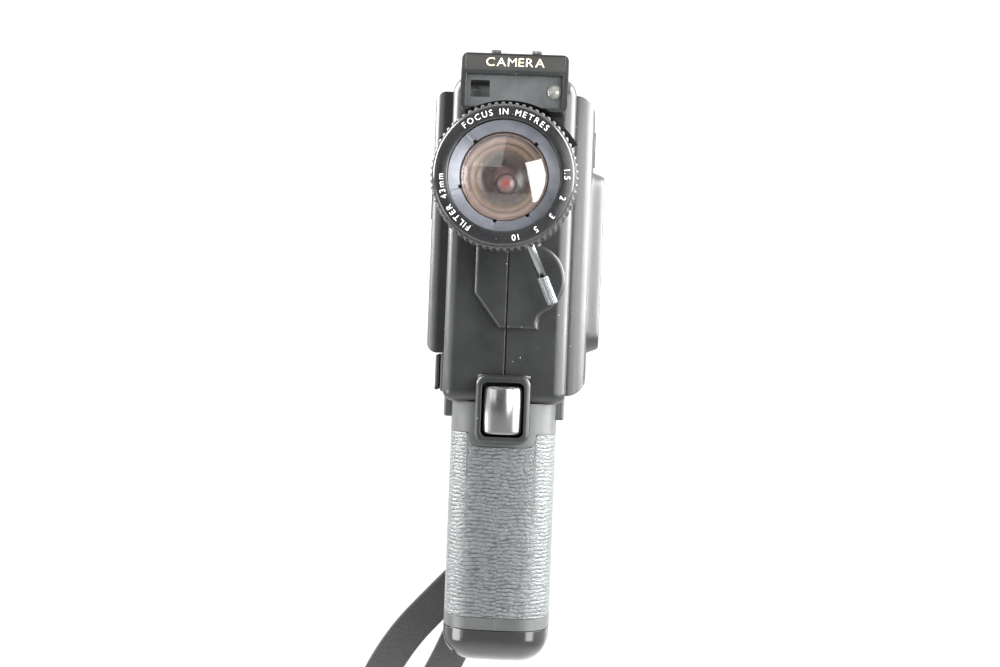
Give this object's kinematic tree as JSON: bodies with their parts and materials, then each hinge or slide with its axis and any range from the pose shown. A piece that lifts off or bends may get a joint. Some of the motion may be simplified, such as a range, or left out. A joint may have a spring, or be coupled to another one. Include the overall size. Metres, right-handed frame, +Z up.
{
  "type": "cine camera",
  "caption": "Hand-held sound cine camera with zoom lens in front, finder housing on top, pistol grip with trigger, side film door, cartridge drive and wrist strap.",
  "frame": {"origin": "mouth of the tripod socket on its axis, in the plane of the underside rails, behind the grip", "axes": "+Z up, -Y the way the lens looks, +X to the user's left"},
  "size_m": [0.1088, 0.1866, 0.3281],
  "materials": {
    "casing_plastic": "satin moulded, lightly textured",
    "trim_plastic": "satin",
    "gloss_plastic": "polished",
    "grip_plastic": "smooth satin",
    "leatherette": "embossed grain",
    "rail_plastic": "matt",
    "rubber": "matt",
    "lens_glass": "coated",
    "meter_dome": "frosted",
    "lens_metal": "black anodised satin",
    "lever_metal": "black anodised, knurled",
    "plated_steel": "nickel plated",
    "brass": "turned",
    "chassis": "die cast",
    "shutter_steel": "blackened",
    "gear_nylon": "moulded",
    "motor_can": "zinc plated",
    "cartridge_plastic": "moulded",
    "board": "solder resist",
    "cell_jacket": "printed jacket",
    "webbing": "woven"
  },
  "bodies": {
    "root": {"casing_left": "casing_plastic", "casing_right": "casing_plastic", "side_cover": "casing_plastic", "finder_housing": "casing_plastic", "trigger_frame": "casing_plastic", "finder_front_panel": "trim_plastic", "name_plate": "trim_plastic", "eyepiece_tube": "trim_plastic", "grip_left_half": "grip_plastic", "grip_right_half": "grip_plastic", "grip_covering": "leatherette", "base_rails": "rail_plastic", "eyecup": "rubber", "drive_belts": "rubber", "rear_element": "lens_glass", "eyepiece_lens": "lens_glass", "finder_window": "lens_glass", "meter_window": "meter_dome", "lens_barrel": "lens_metal", "accessory_shoe": "plated_steel", "case_screws": "plated_steel", "door_hinge_pin": "plated_steel", "strap_lug": "plated_steel", "jack_sockets": "plated_steel", "trigger_spring": "plated_steel", "tripod_bush": "brass", "mechanism_frame": "chassis", "film_gate": "chassis", "sound_head": "chassis", "shutter_motor": "motor_can", "capstan_motor": "motor_can", "film_cartridge": "cartridge_plastic", "circuit_board": "board", "battery_cells": "cell_jacket", "wrist_strap": "webbing"},
    "zoom": {"zoom_ring": "lens_metal", "zoom_lever": "lever_metal"},
    "variator": {"variator_group": "lens_metal"},
    "focus": {"focus_ring": "lens_metal", "name_ring": "lens_metal", "front_retainer": "lens_metal", "front_element": "lens_glass"},
    "vane": {"exposure_vane": "shutter_steel"},
    "shutter": {"shutter_disc": "shutter_steel", "shutter_gear": "gear_nylon"},
    "motor_rotor": {"motor_pinion": "gear_nylon"},
    "claw": {"film_claw": "shutter_steel"},
    "flywheel": {"capstan_flywheel": "plated_steel"},
    "roller": {"pinch_roller": "rubber"},
    "spindle": {"takeup_spindle": "plated_steel"},
    "capstan_rotor": {"capstan_pulley": "plated_steel"},
    "door": {"film_door": "casing_plastic", "door_window": "lens_glass"},
    "latch": {"door_latch": "trim_plastic"},
    "jack_flap": {"jack_cover": "rubber"},
    "trigger": {"trigger_button": "gloss_plastic"},
    "cap": {"battery_cap": "gloss_plastic"},
    "diopter": {"diopter_ring": "trim_plastic"},
    "dial": {"mode_dial": "trim_plastic"},
    "counter": {"counter_dial": "trim_plastic"}
  },
  "joints": [
    {"name": "zoom_ring_turn", "type": "hinge", "parent": "root", "child": "zoom", "pos_m": [-0.002, -0.09, 0.0944], "axis": [0, 1, 0], "range_deg": [0, 46]},
    {"name": "variator_slide", "type": "slide", "parent": "root", "child": "variator", "axis": [0, 1, 0], "range_m": [0, 0.0082]},
    {"name": "focus_ring_turn", "type": "hinge", "parent": "root", "child": "focus", "pos_m": [-0.002, -0.104, 0.0944], "axis": [0, 1, 0], "range_deg": [-100, 10]},
    {"name": "exposure_vane_swing", "type": "hinge", "parent": "root", "child": "vane", "pos_m": [0.014, -0.0514, 0.11], "axis": [0, 1, 0], "range_deg": [0, 25]},
    {"name": "shutter_spin", "type": "hinge", "parent": "root", "child": "shutter", "pos_m": [0.01, -0.042, 0.084], "axis": [0, 1, 0], "continuous": true},
    {"name": "motor_spin", "type": "hinge", "parent": "root", "child": "motor_rotor", "pos_m": [0.01, -0.048, 0.069], "axis": [0, 1, 0], "continuous": true},
    {"name": "claw_stroke", "type": "slide", "parent": "root", "child": "claw", "axis": [0, 0, 1], "range_m": [0, 0.00423]},
    {"name": "flywheel_spin", "type": "hinge", "parent": "root", "child": "flywheel", "pos_m": [0.03, -0.024, 0.047], "axis": [1, 0, 0], "continuous": true},
    {"name": "pinch_roller_spin", "type": "hinge", "parent": "root", "child": "roller", "pos_m": [-0.002, -0.0294, 0.047], "axis": [1, 0, 0], "continuous": true},
    {"name": "takeup_spin", "type": "hinge", "parent": "root", "child": "spindle", "pos_m": [0.004, 0.002, 0.092], "axis": [1, 0, 0], "continuous": true},
    {"name": "capstan_motor_spin", "type": "hinge", "parent": "root", "child": "capstan_rotor", "pos_m": [0.027, 0.02, 0.047], "axis": [1, 0, 0], "continuous": true},
    {"name": "film_door_swing", "type": "hinge", "parent": "root", "child": "door", "pos_m": [-0.0275, 0.047, 0.08], "axis": [0, 0, -1], "range_deg": [0, 100]},
    {"name": "door_latch_slide", "type": "slide", "parent": "door", "child": "latch", "axis": [0, 0, 1], "range_m": [0, 0.005]},
    {"name": "jack_cover_flap", "type": "hinge", "parent": "root", "child": "jack_flap", "pos_m": [-0.02875, -0.016, 0.01135], "axis": [0, -1, 0], "range_deg": [0, 100]},
    {"name": "trigger_press", "type": "slide", "parent": "root", "child": "trigger", "axis": [0, 1, 0], "range_m": [0, 0.003], "stiffness_N_per_m": 250, "springref_m": -0.002, "deforming": ["trigger_spring"]},
    {"name": "battery_cap_draw", "type": "slide", "parent": "root", "child": "cap", "axis": [0, 0, -1], "range_m": [0, 0.008]},
    {"name": "diopter_turn", "type": "hinge", "parent": "root", "child": "diopter", "pos_m": [-0.0136, 0.054, 0.1317], "axis": [0, 1, 0], "range_deg": [-30, 30]},
    {"name": "mode_dial_turn", "type": "hinge", "parent": "root", "child": "dial", "pos_m": [0.036, 0.016, 0.12], "axis": [1, 0, 0], "range_deg": [0, 90]},
    {"name": "counter_turn", "type": "hinge", "parent": "root", "child": "counter", "pos_m": [0.014, 0.046, 0.106], "axis": [0, 1, 0], "range_deg": [0, 300]}
  ],
  "couplings": [
    {"joint": "variator_slide", "follows": "zoom_ring_turn", "m_per_rad": 0.0099},
    {"joint": "motor_spin", "follows": "shutter_spin", "ratio": -2},
    {"joint": "pinch_roller_spin", "follows": "flywheel_spin", "ratio": -0.3125},
    {"joint": "takeup_spin", "follows": "flywheel_spin", "ratio": 0.4737},
    {"joint": "capstan_motor_spin", "follows": "flywheel_spin", "ratio": 1.8475}
  ]
}
